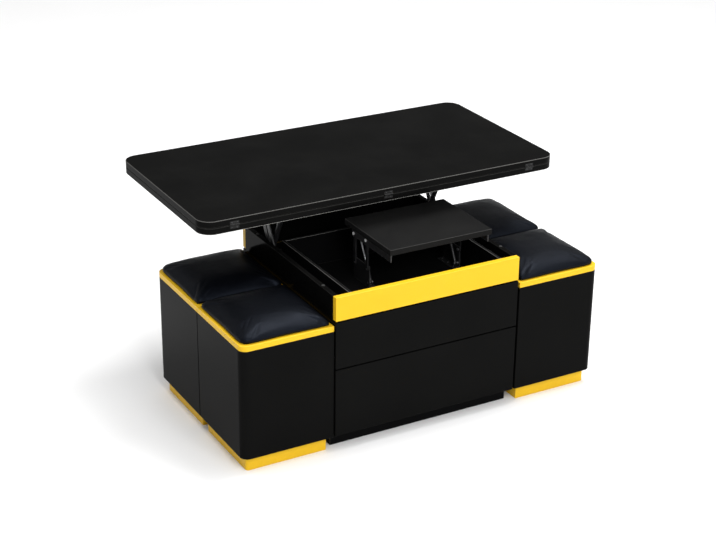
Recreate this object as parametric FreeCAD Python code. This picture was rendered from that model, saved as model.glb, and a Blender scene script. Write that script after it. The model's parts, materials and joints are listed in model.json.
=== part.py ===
import FreeCAD, Part
import math
import os

from FreeCAD import Vector

# A coffee table that turns into a dining table. A cabinet with two drawers and a storage well stands
# in the middle, a double top lifts back and unfolds to the front, a small tray lifts inside the well,
# and four padded stools park against the two ends of the cabinet.
# Millimetres. X runs along the length, the front is towards -Y, Z is up, and the origin is on the
# floor under the middle of the cabinet. The top is shown lifted and still folded, the tray is up.

# Cabinet
cabinet_width = 616.0
cabinet_depth = 606.0
cabinet_height = 492.0
side_thickness = 15.0
front_thickness = 18.0
shelf_thickness = 15.0
plinth_height = 50.0
plinth_recess = 40.0
plinth_side_recess = 3.0
plinth_board = 18.0
band_height = 74.0
lower_front_height = 213.0
front_gap = 4.0
front_clearance = 0.5
board_round = 1.2
bumper_radius = 5.0
bumper_height = 2.0
bumper_place_share = 0.7

# Storage well and the channels of the lift
storage_depth = 100.0
storage_wall = 9.0
lift_channel = 36.0
trough_depth = 150.0

# Drawers
drawer_board = 12.0
drawer_bottom = 8.0
drawer_rear_gap = 90.0
drawer_gap = 9.0
rail_height = 36.0
rail_depth = 10.0
rail_wall = 2.0
rail_clearance = 0.5

# Double top
top_length = 1200.0
top_depth = 605.0
leaf_thickness = 20.0
leaf_gap = 0.8
leaf_corner = 45.0
leaf_round = 2.0
closed_gap = 2.3

# Flip hinges on the front edge of the two leaves
hinge_spread = 500.0
hinge_width = 27.0
hinge_height = 10.0
hinge_plate = 2.0
hinge_offset = 0.5
knuckle_radius = 3.2
knuckle_gap = 0.4
hinge_pin_radius = 1.5

# Lift linkage
lift_arm = 166.4
lift_rest_angle = 61.2
lift_bar_width = 18.0
lift_bar = 4.0
lift_plate = 3.0
lift_margin = 14.0
layer_gap = 0.5
rear_pivot_back = 128.0
rear_pivot_drop = 22.0
front_pivot_ahead = 55.0
front_pivot_lower = 45.0
lift_flange = 22.0
pin_radius = 4.0
pin_head_radius = 7.0
pin_head = 2.0
pin_clearance = 0.05

# Pull struts of the lift
strut_foot_back = 37.0
strut_foot_lower = 60.0
strut_head_ahead = 150.0
strut_head_drop = 18.0
strut_radius = 8.0
strut_bore = 6.0
strut_rod = 4.0
strut_piston = 8.0
strut_dead = 5.0
strut_guide = 12.0
strut_eye = 8.0
strut_side = 22.5

# Small lifting tray
tray_width = 346.0
tray_depth = 272.0
tray_thickness = 18.0
tray_side_gap = 2.0
tray_rear_gap = 4.0
tray_closed_drop = 3.0
tray_arm = 93.5
tray_closed_angle = 6.5
tray_bar_width = 12.0
tray_bar = 4.0
tray_plate = 3.0
tray_margin = 10.0
tray_flange = 20.0
tray_link_inset = 6.0
tray_pivot_inset = 45.0
tray_pivot_step = 73.0
tray_pivot_drop = 14.5
tray_pivot_rise = 5.0
tray_pin_radius = 3.0
tray_head_radius = 5.0
tray_head = 2.0
tray_rail_height = 24.0
tray_rail_inset = 8.0

# Pull struts of the tray
tray_strut_rise = 14.0
tray_strut_radius = 5.0
tray_strut_bore = 3.8
tray_strut_rod = 2.5
tray_strut_eye = 6.0

# Stools
stool_width = 289.5
stool_depth = 295.5
stool_left_gap = 2.5
stool_right_gap = 11.0
stool_pair_gap = 3.0
stool_plinth_height = 45.0
stool_plinth_recess = 17.0
stool_plinth_board = 15.0
stool_plinth_corner = 9.0
stool_body_height = 341.0
stool_wall = 15.0
stool_corner = 25.0
seat_thickness = 17.0

# Cushions: a crown and sides that draw in between the corners
cushion_height = 42.0
cushion_inset = 6.0
cushion_corner = 22.0
cushion_inner_corner = 9.0
cushion_draw = 2.0
cushion_height_shares = (0.0, 0.2, 0.46, 0.7, 0.84, 0.945, 1.0)
cushion_spread_shares = (0.985, 1.0, 0.985, 0.91, 0.79, 0.57, 0.22)
cushion_draw_shares = (1.0, 1.0, 0.9, 0.6, 0.25, 0.06, 0.02)
cushion_round_shares = (0.0, 0.0, 0.02, 0.1, 0.3, 0.55, 0.8)

# How far every cut runs past the face it opens
overrun = 5.0


def distance(first, second):
    """Distance between two places (y, z)."""
    return math.hypot(second[0] - first[0], second[1] - first[1])


# Places worked out from the sizes above
half_width = cabinet_width / 2
half_depth = cabinet_depth / 2
side_inner = half_width - side_thickness
carcass_front = front_thickness - half_depth
carcass_rear = half_depth - front_thickness
band_low = cabinet_height - band_height
lower_front_top = plinth_height + lower_front_height
upper_front_low = lower_front_top + front_gap
upper_front_top = band_low - front_gap
bottom_top = plinth_height + shelf_thickness
well_floor = cabinet_height - storage_depth
well_side = side_inner - lift_channel
well_inner = well_side - storage_wall
well_rear = carcass_rear - trough_depth
well_rear_front = well_rear - storage_wall

lift_angle = math.radians(lift_rest_angle)
lift_dy = lift_arm * math.cos(lift_angle)
lift_dz = lift_arm * math.sin(lift_angle)
rear_pivot = (carcass_rear - rear_pivot_back, cabinet_height - rear_pivot_drop)
front_pivot = (rear_pivot[0] - front_pivot_ahead, rear_pivot[1] - front_pivot_lower)
rear_head = (rear_pivot[0] + lift_dy, rear_pivot[1] + lift_dz)
front_head = (front_pivot[0] + lift_dy, front_pivot[1] + lift_dz)
lower_leaf_low = cabinet_height + closed_gap + lift_dz
lower_leaf_top = lower_leaf_low + leaf_thickness
upper_leaf_low = lower_leaf_top + leaf_gap
upper_leaf_top = upper_leaf_low + leaf_thickness
top_middle = lift_arm + lift_dy
leaf_front = top_middle - top_depth / 2
leaf_rear = top_middle + top_depth / 2
hinge_axis = (leaf_front - hinge_offset, (lower_leaf_top + upper_leaf_low) / 2)

strut_foot = (rear_pivot[0] + strut_foot_back, rear_pivot[1] - strut_foot_lower)
strut_head = (rear_head[0] - strut_head_ahead, lower_leaf_low - strut_head_drop)
strut_closed_head = (strut_head[0] - top_middle, strut_head[1] - lift_dz)
strut_span = distance(strut_foot, strut_head)
strut_stroke = distance(strut_foot, strut_closed_head) - strut_span

lift_base_x = (-side_inner, lift_plate - side_inner)
lift_bar_x = (lift_base_x[1] + layer_gap, lift_base_x[1] + layer_gap + lift_bar)
lift_bracket_x = (lift_bar_x[1] + layer_gap, lift_bar_x[1] + layer_gap + lift_plate)
strut_x = strut_side - side_inner

tray_low_angle = math.radians(tray_closed_angle)
tray_right = well_inner - tray_side_gap
tray_left = tray_right - tray_width
tray_middle = (tray_left + tray_right) / 2
tray_shift = tray_arm * math.cos(tray_low_angle)
tray_drop = tray_arm * (1 - math.sin(tray_low_angle))
tray_rear = well_rear_front - tray_rear_gap - tray_shift
tray_front = tray_rear - tray_depth
tray_top = cabinet_height - tray_closed_drop + tray_drop
tray_low = tray_top - tray_thickness
tray_rear_head = (tray_rear - tray_pivot_inset, tray_low - tray_pivot_drop)
tray_front_head = (tray_rear_head[0] - tray_pivot_step, tray_rear_head[1] + tray_pivot_rise)
tray_rear_pivot = (tray_rear_head[0], tray_rear_head[1] - tray_arm)
tray_front_pivot = (tray_front_head[0], tray_front_head[1] - tray_arm)
tray_bracket_x = (tray_left + tray_link_inset, tray_left + tray_link_inset + tray_plate)
tray_bar_x = (tray_bracket_x[1] + layer_gap, tray_bracket_x[1] + layer_gap + tray_bar)
tray_base_x = (tray_bar_x[1] + layer_gap, tray_bar_x[1] + layer_gap + tray_plate)
tray_strut_x = tray_base_x[1] + tray_head + layer_gap + tray_strut_radius
tray_lug_side = tray_strut_x + tray_strut_radius + layer_gap
tray_lug_x = (tray_lug_side, tray_lug_side + tray_plate)
tray_strut_foot = (tray_front_pivot[0], well_floor + tray_strut_rise)
tray_strut_head = tray_rear_head
tray_strut_closed_head = (tray_strut_head[0] + tray_shift, tray_strut_head[1] - tray_drop)
tray_strut_span = distance(tray_strut_foot, tray_strut_head)
tray_strut_stroke = distance(tray_strut_foot, tray_strut_closed_head) - tray_strut_span

stool_inner_x = half_width + stool_left_gap
stool_outer_x = stool_inner_x + stool_width
stool_inner_y = stool_pair_gap / 2
stool_outer_y = stool_inner_y + stool_depth
stool_body_top = stool_plinth_height + stool_body_height
seat_top = stool_body_top + seat_thickness

X_AXIS = Vector(1, 0, 0)
Y_AXIS = Vector(0, 1, 0)
CENTRE = Vector(0, 0, 0)


def block(x, y, z):
    """Box between two values along each axis."""
    return Part.makeBox(x[1] - x[0], y[1] - y[0], z[1] - z[0], Vector(x[0], y[0], z[0]))


def eased(shape, radius):
    """Every edge of a board, rounded over."""
    return shape.makeFillet(radius, shape.Edges)


def board(x, y, z):
    """Box with its edges eased, as a lacquered panel has them."""
    return eased(block(x, y, z), board_round)


def pin_along(radius, x, place):
    """Round bar along X at a place (y, z)."""
    return Part.makeCylinder(radius, x[1] - x[0], Vector(x[0], place[0], place[1]), X_AXIS)


def mirrored(shape, middle=0):
    """The same piece on the other side of a plane across X."""
    return shape.mirror(Vector(middle, 0, 0), X_AXIS)


def both_sides(shape, middle=0):
    """A piece and its mirror image, as two separate solids."""
    return Part.makeCompound([shape, mirrored(shape, middle)])


def plate(x, outline):
    """Flat plate across X with a straight-sided outline of (y, z) corners."""
    corners = [Vector(x[0], y, z) for y, z in outline]
    face = Part.Face(Part.makePolygon(corners + corners[:1]))
    return face.extrude(Vector(x[1] - x[0], 0, 0))


def link_bar(x, start, end, width, hole):
    """Flat bar with round ends and a hole at each of its two pivots."""
    length = distance(start, end)
    half = width / 2
    along = Vector(0, (end[0] - start[0]) / length, (end[1] - start[1]) / length)
    across = X_AXIS.cross(along)
    low = Vector(x[0], start[0], start[1])
    high = Vector(x[0], end[0], end[1])
    edges = [
        Part.LineSegment(low + across * half, high + across * half).toShape(),
        Part.Arc(high + across * half, high + along * half, high - across * half).toShape(),
        Part.LineSegment(high - across * half, low - across * half).toShape(),
        Part.Arc(low - across * half, low - along * half, low + across * half).toShape(),
    ]
    bar = Part.Face(Part.Wire(edges)).extrude(Vector(x[1] - x[0], 0, 0))
    drill = (x[0] - overrun, x[1] + overrun)
    return bar.cut([pin_along(hole, drill, start), pin_along(hole, drill, end)])


def rounded_block(x, y, z, radii):
    """Box whose four upright corners have their own radii, from low x and low y round to low x, high y."""
    corners = [(x[0], y[0], 1, 1), (x[1], y[0], -1, 1), (x[1], y[1], -1, -1), (x[0], y[1], 1, -1)]
    turns = []
    for index, (cx, cy, dx, dy) in enumerate(corners):
        radius = radii[index]
        along_x = Vector(cx + dx * radius, cy, z[0])
        along_y = Vector(cx, cy + dy * radius, z[0])
        bite = radius * (1 - math.sqrt(0.5))
        middle = Vector(cx + dx * bite, cy + dy * bite, z[0])
        first, last = (along_y, along_x) if index % 2 == 0 else (along_x, along_y)
        turns.append((first, middle, last))
    edges = []
    for index, (first, middle, last) in enumerate(turns):
        if radii[index] > 0:
            edges.append(Part.Arc(first, middle, last).toShape())
        edges.append(Part.LineSegment(last, turns[(index + 1) % len(turns)][0]).toShape())
    return Part.Face(Part.Wire(edges)).extrude(Vector(0, 0, z[1] - z[0]))


def pull_strut(x, foot, head, stroke, radii, eye, pin, plate_x):
    """Cylinder on a stud, the rod that reaches up from it, and the stud with its collar on a plate."""
    tube_radius, bore_radius, rod_radius = radii
    start = Vector(x, foot[0], foot[1])
    along = (Vector(x, head[0], head[1]) - start).normalize()

    def round_along(radius, low, high):
        """Round bar on the strut's line, between two distances from its foot."""
        return Part.makeCylinder(radius, high - low, start + along * low, along)

    bore_low = tube_radius + strut_guide
    rod_low = bore_low + strut_dead
    guide_low = rod_low + stroke + strut_piston + strut_dead
    body_top = guide_low + strut_guide
    eye_x = (x - eye / 2, x + eye / 2)
    drill = (eye_x[0] - overrun, eye_x[1] + overrun)
    tube = round_along(tube_radius, tube_radius, body_top)
    heel = pin_along(tube_radius, eye_x, foot).fuse(round_along(rod_radius, 0, bore_low))
    cylinder = tube.fuse(heel).cut(
        [
            round_along(bore_radius, bore_low, guide_low),
            round_along(rod_radius + pin_clearance, bore_low, body_top + overrun),
            pin_along(pin + pin_clearance, drill, foot),
        ]
    )

    piston = round_along(bore_radius - pin_clearance, rod_low, rod_low + strut_piston)
    upper_eye = pin_along(tube_radius, eye_x, head)
    rod = round_along(rod_radius, rod_low, distance(foot, head)).fuse([piston, upper_eye])

    collar = pin_along(tube_radius, (plate_x[1], eye_x[0] - layer_gap), foot)
    shank = pin_along(pin, (plate_x[0], eye_x[1] + layer_gap), foot)
    cap = pin_along(tube_radius, (eye_x[1] + layer_gap, eye_x[1] + layer_gap + pin_head), foot)
    stud = shank.fuse([collar, cap]).removeSplitter()
    return cylinder, rod, stud


def plinth_frame(x, y, height, wall, radii):
    """Low frame of boards under a cabinet or stool, open at its top and bottom."""
    outer = rounded_block(x, y, (0, height), radii)
    inner = block((x[0] + wall, x[1] - wall), (y[0] + wall, y[1] - wall), (-overrun, height + overrun))
    return outer.cut(inner)


def make_cabinet():
    """Panels of the cabinet, its storage well, plinth and bumpers."""
    width = (-half_width, half_width)
    inside = (-side_inner, side_inner)
    depth = (carcass_front, carcass_rear)
    front = (-half_depth, carcass_front)
    rear = (carcass_rear, half_depth)
    band = (band_low, cabinet_height)
    walls = (well_floor, cabinet_height)
    left_side = board((-half_width, -side_inner), depth, (plinth_height, cabinet_height))
    well_left = board((-well_side, -well_inner), (carcass_front, well_rear), walls)
    frame_x = (plinth_side_recess - half_width, half_width - plinth_side_recess)
    frame_y = (plinth_recess - half_depth, half_depth - plinth_recess)
    frame = plinth_frame(frame_x, frame_y, plinth_height, plinth_board, (0, 0, 0, 0))
    rail = block(frame_x, (-plinth_board / 2, plinth_board / 2), (0, plinth_height))
    bumper_x = half_width - side_thickness / 2
    bumper_y = half_depth * bumper_place_share
    bumpers = [
        Part.makeCylinder(bumper_radius, bumper_height, Vector(sx * bumper_x, sy * bumper_y, cabinet_height))
        for sx in (-1, 1)
        for sy in (-1, 1)
    ]
    return {
        "left_side": left_side,
        "right_side": mirrored(left_side),
        "bottom_panel": block(inside, depth, (plinth_height, bottom_top)),
        "back_panel": board(width, rear, (plinth_height, upper_front_top)),
        "front_band": board(width, front, band),
        "rear_band": board(width, rear, band),
        "cabinet_plinth": frame.fuse(rail).removeSplitter(),
        "storage_floor": block(inside, depth, (well_floor - shelf_thickness, well_floor)),
        "storage_left_wall": well_left,
        "storage_right_wall": mirrored(well_left),
        "storage_rear_wall": board((-well_inner, well_inner), (well_rear_front, well_rear), walls),
        "top_bumpers": Part.makeCompound(bumpers),
    }


def drawer_rail(middle, box_half):
    """Channel on the cabinet side and the bar on the drawer that runs in it, at one height."""
    half = rail_height / 2
    length = (carcass_front + front_clearance, carcass_rear - drawer_rear_gap)
    channel = block((-side_inner, rail_depth - side_inner), length, (middle - half, middle + half))
    groove_half = half - rail_wall
    groove_x = (rail_wall - side_inner, rail_depth - side_inner + overrun)
    groove_y = (length[0] - overrun, length[1] + overrun)
    groove = block(groove_x, groove_y, (middle - groove_half, middle + groove_half))
    bar_half = groove_half - rail_clearance
    bar = block((groove_x[0] + rail_clearance, -box_half), length, (middle - bar_half, middle + bar_half))
    return channel.cut(groove), bar


def make_drawers():
    """Two drawers with overlaid fronts, their boxes and side rails."""
    box_half = side_inner - rail_depth - rail_clearance
    front_y = (-half_depth, carcass_front - front_clearance)
    box_y = (carcass_front - front_clearance, carcass_rear - drawer_rear_gap)
    heights = {
        "lower_drawer": (
            plinth_height,
            lower_front_top,
            bottom_top + drawer_gap,
            lower_front_top - drawer_gap,
        ),
        "upper_drawer": (
            upper_front_low,
            upper_front_top,
            upper_front_low + drawer_gap,
            well_floor - shelf_thickness - drawer_gap,
        ),
    }
    nodes = {}
    channels = []
    for name, (front_low, front_top, box_low, box_top) in heights.items():
        outer = block((-box_half, box_half), box_y, (box_low, box_top))
        hollow_x = (drawer_board - box_half, box_half - drawer_board)
        hollow_y = (box_y[0] + drawer_board, box_y[1] - drawer_board)
        hollow = block(hollow_x, hollow_y, (box_low + drawer_bottom, box_top + overrun))
        channel, bar = drawer_rail((box_low + box_top) / 2, box_half)
        channels += [channel, mirrored(channel)]
        nodes[name + "_front"] = board((-half_width, half_width), front_y, (front_low, front_top))
        nodes[name + "_box"] = outer.cut(hollow)
        nodes[name + "_rails"] = both_sides(bar)
    nodes["drawer_channels"] = Part.makeCompound(channels)
    return nodes


def hinge_places():
    """The x of the middle of each flip hinge."""
    return (-hinge_spread, 0, hinge_spread)


def leaf(low, top, seam_up):
    """One leaf of the top, with seats for the flip hinges in its front edge."""
    x = (-top_length / 2, top_length / 2)
    slab = rounded_block(x, (leaf_front, leaf_rear), (low, top), (leaf_corner,) * 4)
    outline = [edge for edge in slab.Edges if edge.BoundBox.ZLength < leaf_thickness / 2]
    slab = slab.makeFillet(leaf_round, outline)
    seam = top if seam_up else low
    seat_z = (seam - hinge_height, seam + overrun) if seam_up else (seam - overrun, seam + hinge_height)
    cuts = []
    for middle in hinge_places():
        seat_x = (middle - hinge_width / 2, middle + hinge_width / 2)
        cuts.append(block(seat_x, (leaf_front - overrun, leaf_front + hinge_plate), seat_z))
        room_x = (seat_x[0] - knuckle_gap, seat_x[1] + knuckle_gap)
        cuts.append(pin_along(knuckle_radius + knuckle_gap, room_x, hinge_axis))
    return slab.cut(cuts)


def hinge_half(middle, on_lower):
    """Edge plate of a flip hinge with its knuckles: the outer two below, the middle one above."""
    third = hinge_width / 3
    low = middle - hinge_width / 2
    spans = [(low + third * step, low + third * (step + 1)) for step in range(3)]
    plate_y = (leaf_front, leaf_front + hinge_plate)
    if on_lower:
        plate_z = (lower_leaf_top - hinge_height, lower_leaf_top)
    else:
        plate_z = (upper_leaf_low, upper_leaf_low + hinge_height)
    half = block((spans[0][0], spans[2][1]), plate_y, plate_z)
    own = (spans[0], spans[2]) if on_lower else (spans[1],)
    others = (spans[1],) if on_lower else (spans[0], spans[2])
    for start, end in own:
        inset_start = start if start == spans[0][0] else start + knuckle_gap / 2
        inset_end = end if end == spans[2][1] else end - knuckle_gap / 2
        half = half.fuse(pin_along(knuckle_radius, (inset_start, inset_end), hinge_axis))
    for start, end in others:
        room = (start - knuckle_gap / 2, end + knuckle_gap / 2)
        half = half.cut(pin_along(knuckle_radius + knuckle_gap, room, hinge_axis))
    through = (low - overrun, low + hinge_width + overrun)
    bore = pin_along(hinge_pin_radius + pin_clearance, through, hinge_axis)
    return half.cut(bore).removeSplitter()


def make_top():
    """The two leaves and the three flip hinges between them."""
    pins = [
        pin_along(hinge_pin_radius, (middle - hinge_width / 2, middle + hinge_width / 2), hinge_axis)
        for middle in hinge_places()
    ]
    return {
        "lower_leaf": leaf(lower_leaf_low, lower_leaf_top, True),
        "upper_leaf": leaf(upper_leaf_low, upper_leaf_top, False),
        "flip_hinge_lower_halves": Part.makeCompound([hinge_half(x, True) for x in hinge_places()]),
        "flip_hinge_upper_halves": Part.makeCompound([hinge_half(x, False) for x in hinge_places()]),
        "flip_hinge_pins": Part.makeCompound(pins),
    }


def make_lift():
    """Side plates, parallel arms, top brackets and pins of the lift."""
    hole = pin_radius + pin_clearance
    base_y = (front_pivot[0] - lift_margin, strut_foot[0] + lift_margin)
    base_z = (strut_foot[1] - lift_margin, rear_pivot[1] + lift_margin)
    base = block(lift_base_x, base_y, base_z)
    base_drill = (lift_base_x[0] - overrun, lift_base_x[1] + overrun)
    base = base.cut([pin_along(hole, base_drill, place) for place in (rear_pivot, front_pivot, strut_foot)])

    outline = [
        (strut_head[0] - lift_margin, lower_leaf_low),
        (strut_head[0] - lift_margin, strut_head[1] - lift_margin),
        (front_head[0] - lift_margin, front_head[1] - lift_margin),
        (front_head[0] + lift_margin, front_head[1] - lift_margin),
        (rear_head[0] + lift_margin, rear_head[1] - lift_margin),
        (rear_head[0] + lift_margin, lower_leaf_low),
    ]
    web = plate(lift_bracket_x, outline)
    flange_x = (lift_bracket_x[0], lift_bracket_x[1] + lift_flange)
    flange_y = (strut_head[0] - lift_margin, rear_head[0] + lift_margin)
    flange = block(flange_x, flange_y, (lower_leaf_low - lift_plate, lower_leaf_low))
    boss = pin_along(pin_head_radius, (lift_bracket_x[1], strut_x - strut_eye / 2 - layer_gap), strut_head)
    drill = (lift_bracket_x[0] - overrun, lift_bracket_x[1] + overrun)
    bracket = web.fuse([flange, boss]).removeSplitter()
    bracket = bracket.cut([pin_along(hole, drill, place) for place in (rear_head, front_head)])

    lower_pins = []
    for place in (rear_pivot, front_pivot):
        shank = pin_along(pin_radius, (lift_base_x[0], lift_bar_x[1]), place)
        head = pin_along(pin_head_radius, (lift_bar_x[1], lift_bar_x[1] + pin_head), place)
        lower_pins.append(shank.fuse(head).removeSplitter())
    upper_pins = []
    for place in (rear_head, front_head):
        shank = pin_along(pin_radius, (lift_bar_x[0], lift_bracket_x[1]), place)
        head = pin_along(pin_head_radius, (lift_bar_x[0] - pin_head, lift_bar_x[0]), place)
        upper_pins.append(shank.fuse(head).removeSplitter())
    rear_arm = link_bar(lift_bar_x, rear_pivot, rear_head, lift_bar_width, hole)
    front_arm = link_bar(lift_bar_x, front_pivot, front_head, lift_bar_width, hole)
    return {
        "lift_base_left": base,
        "lift_base_right": mirrored(base),
        "lift_rear_arms": both_sides(rear_arm),
        "lift_front_arms": both_sides(front_arm),
        "lift_bracket_left": bracket,
        "lift_bracket_right": mirrored(bracket),
        "lift_lower_pins": both_sides(Part.makeCompound(lower_pins)),
        "lift_upper_pins": both_sides(Part.makeCompound(upper_pins)),
    }


def make_struts():
    """Pull struts that balance the top and the tray."""
    lift_radii = (strut_radius, strut_bore, strut_rod)
    lift_set = pull_strut(
        strut_x, strut_foot, strut_head, strut_stroke, lift_radii, strut_eye, pin_radius, lift_base_x
    )
    tray_radii = (tray_strut_radius, tray_strut_bore, tray_strut_rod)
    tray_set = pull_strut(
        tray_strut_x,
        tray_strut_foot,
        tray_strut_head,
        tray_strut_stroke,
        tray_radii,
        tray_strut_eye,
        tray_pin_radius,
        tray_base_x,
    )
    nodes = {}
    for piece, lift_shape, tray_shape in zip(("cylinders", "rods"), lift_set, tray_set):
        nodes["strut_" + piece] = both_sides(lift_shape)
        nodes["tray_strut_" + piece] = both_sides(tray_shape, tray_middle)
    studs = [both_sides(lift_set[-1]), both_sides(tray_set[-1], tray_middle)]
    nodes["strut_studs"] = Part.makeCompound(studs)
    return nodes


def make_tray():
    """Small tray with its own parallel arms, foot plates and brackets."""
    hole = tray_pin_radius + pin_clearance
    foot_y = (tray_front_pivot[0] - tray_margin, tray_rear_pivot[0] + tray_margin)
    foot = block(tray_base_x, foot_y, (well_floor, tray_front_pivot[1] + tray_margin))
    foot_flange_x = (tray_base_x[0], tray_base_x[1] + tray_flange)
    foot = foot.fuse(block(foot_flange_x, foot_y, (well_floor, well_floor + tray_plate))).removeSplitter()
    drill = (tray_base_x[0] - overrun, tray_base_x[1] + overrun)
    foot_places = (tray_rear_pivot, tray_front_pivot)
    foot = foot.cut([pin_along(hole, drill, place) for place in (*foot_places, tray_strut_foot)])

    rail_y = (tray_front + tray_rail_inset, tray_rear_head[0] + tray_margin)
    rail = block(tray_bracket_x, rail_y, (tray_low - tray_rail_height, tray_low))
    flange = block((tray_bracket_x[0], tray_lug_x[1]), rail_y, (tray_low - tray_plate, tray_low))
    lug_y = (tray_strut_head[0] - tray_margin, tray_strut_head[0] + tray_margin)
    lug = block(tray_lug_x, lug_y, (tray_strut_head[1] - tray_margin, tray_low))
    boss_x = (tray_strut_x + tray_strut_eye / 2 + layer_gap, tray_lug_x[0])
    boss = pin_along(tray_head_radius, boss_x, tray_strut_head)
    drill = (tray_bracket_x[0] - overrun, tray_bracket_x[1])
    head_places = (tray_rear_head, tray_front_head)
    bracket = rail.fuse([flange, lug, boss]).removeSplitter()
    bracket = bracket.cut([pin_along(hole, drill, place) for place in head_places])

    lower_pins = []
    for place in foot_places:
        shank = pin_along(tray_pin_radius, (tray_bar_x[0], tray_base_x[1]), place)
        head = pin_along(tray_head_radius, (tray_base_x[1], tray_base_x[1] + tray_head), place)
        lower_pins.append(shank.fuse(head).removeSplitter())
    upper_pins = []
    for place in head_places:
        shank = pin_along(tray_pin_radius, (tray_bracket_x[0], tray_bar_x[1]), place)
        head = pin_along(tray_head_radius, (tray_bracket_x[0] - tray_head, tray_bracket_x[0]), place)
        upper_pins.append(shank.fuse(head).removeSplitter())
    rear_arm = link_bar(tray_bar_x, tray_rear_pivot, tray_rear_head, tray_bar_width, hole)
    front_arm = link_bar(tray_bar_x, tray_front_pivot, tray_front_head, tray_bar_width, hole)
    return {
        "tray_board": board((tray_left, tray_right), (tray_front, tray_rear), (tray_low, tray_top)),
        "tray_foot_plates": both_sides(foot, tray_middle),
        "tray_brackets": both_sides(bracket, tray_middle),
        "tray_rear_arms": both_sides(rear_arm, tray_middle),
        "tray_front_arms": both_sides(front_arm, tray_middle),
        "tray_lower_pins": both_sides(Part.makeCompound(lower_pins), tray_middle),
        "tray_upper_pins": both_sides(Part.makeCompound(upper_pins), tray_middle),
    }


def cushion_section(middle, half, level):
    """Plan of the cushion at one level: round corners, sides that draw in, rounder towards the crown."""
    spread = cushion_spread_shares[level]
    rounder = cushion_round_shares[level]
    z = seat_top + cushion_height * cushion_height_shares[level]
    a = half[0] * spread
    b = half[1] * spread
    draw = cushion_draw * cushion_draw_shares[level]
    places = ((-1, -1), (1, -1), (1, 1), (-1, 1))
    sizes = (cushion_inner_corner, cushion_inner_corner, cushion_corner, cushion_inner_corner)
    turns = []
    for index, (sx, sy) in enumerate(places):
        radius = sizes[index] * spread * (1 - rounder) + min(a, b) * rounder
        bite = radius * (1 - math.sqrt(0.5))
        on_long_side = Vector(middle[0] + sx * (a - radius), middle[1] + sy * b, z)
        bend = Vector(middle[0] + sx * (a - bite), middle[1] + sy * (b - bite), z)
        on_short_side = Vector(middle[0] + sx * a, middle[1] + sy * (b - radius), z)
        first, last = (on_short_side, on_long_side) if index % 2 == 0 else (on_long_side, on_short_side)
        turns.append((first, bend, last))
    edges = []
    inward = (Vector(0, 1, 0), Vector(-1, 0, 0), Vector(0, -1, 0), Vector(1, 0, 0))
    for index, turn in enumerate(turns):
        start, end = turn[-1], turns[(index + 1) % len(turns)][0]
        edges.append(Part.Arc(*turn).toShape())
        edges.append(Part.Arc(start, (start + end) / 2 + inward[index] * draw, end).toShape())
    return Part.Wire(edges)


def make_stool():
    """One stool: plinth, body, seat board and cushion, as mirrored from the rear left place."""
    x = (stool_inner_x, stool_outer_x)
    y = (stool_inner_y, stool_outer_y)
    corners = (0, 0, stool_corner, 0)
    foot_x = (x[0] + stool_plinth_recess, x[1] - stool_plinth_recess)
    foot_y = (y[0] + stool_plinth_recess, y[1] - stool_plinth_recess)
    foot_corners = (0, 0, stool_plinth_corner, 0)
    plinth = plinth_frame(foot_x, foot_y, stool_plinth_height, stool_plinth_board, foot_corners)

    outer = eased(rounded_block(x, y, (stool_plinth_height, stool_body_top), corners), board_round)
    room_x = (x[0] + stool_wall, x[1] - stool_wall)
    room_y = (y[0] + stool_wall, y[1] - stool_wall)
    room_z = (stool_plinth_height + stool_wall, stool_body_top + overrun)
    body = outer.cut(block(room_x, room_y, room_z))

    seat = eased(rounded_block(x, y, (stool_body_top, seat_top), corners), board_round)
    middle = ((x[0] + x[1]) / 2, (y[0] + y[1]) / 2)
    half = (stool_width / 2 - cushion_inset, stool_depth / 2 - cushion_inset)
    sections = [cushion_section(middle, half, level) for level in range(len(cushion_height_shares))]
    cushion = Part.makeLoft(sections, True, False)
    return {"plinth": plinth, "body": body, "seat_board": seat, "cushion": cushion}


def make_stools():
    """Four stools, mirrored to the front and rear of both ends, the right ones parked further out."""
    nodes = {}
    outward = Vector(stool_right_gap - stool_left_gap, 0, 0)
    for piece, shape in make_stool().items():
        front = shape.mirror(CENTRE, Y_AXIS)
        nodes["stool_rear_right_" + piece] = shape.translated(outward)
        nodes["stool_front_right_" + piece] = front.translated(outward)
        nodes["stool_rear_left_" + piece] = mirrored(shape)
        nodes["stool_front_left_" + piece] = mirrored(front)
    return nodes


def main():
    """Build every piece and write one file for each."""
    os.makedirs("parts", exist_ok=True)
    nodes = {}
    for make in (make_cabinet, make_drawers, make_lift, make_struts, make_top, make_tray, make_stools):
        nodes.update(make())
    for name, shape in nodes.items():
        if not shape.isValid():
            print("not valid:", name)
        shape.exportStep("parts/" + name + ".step")
    print(len(nodes), "nodes")


main()
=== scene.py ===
import json
import logging
import math
from dataclasses import dataclass, field, replace
from enum import Enum

import bmesh
import bpy
from mathutils import Matrix, Vector, noise


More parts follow.
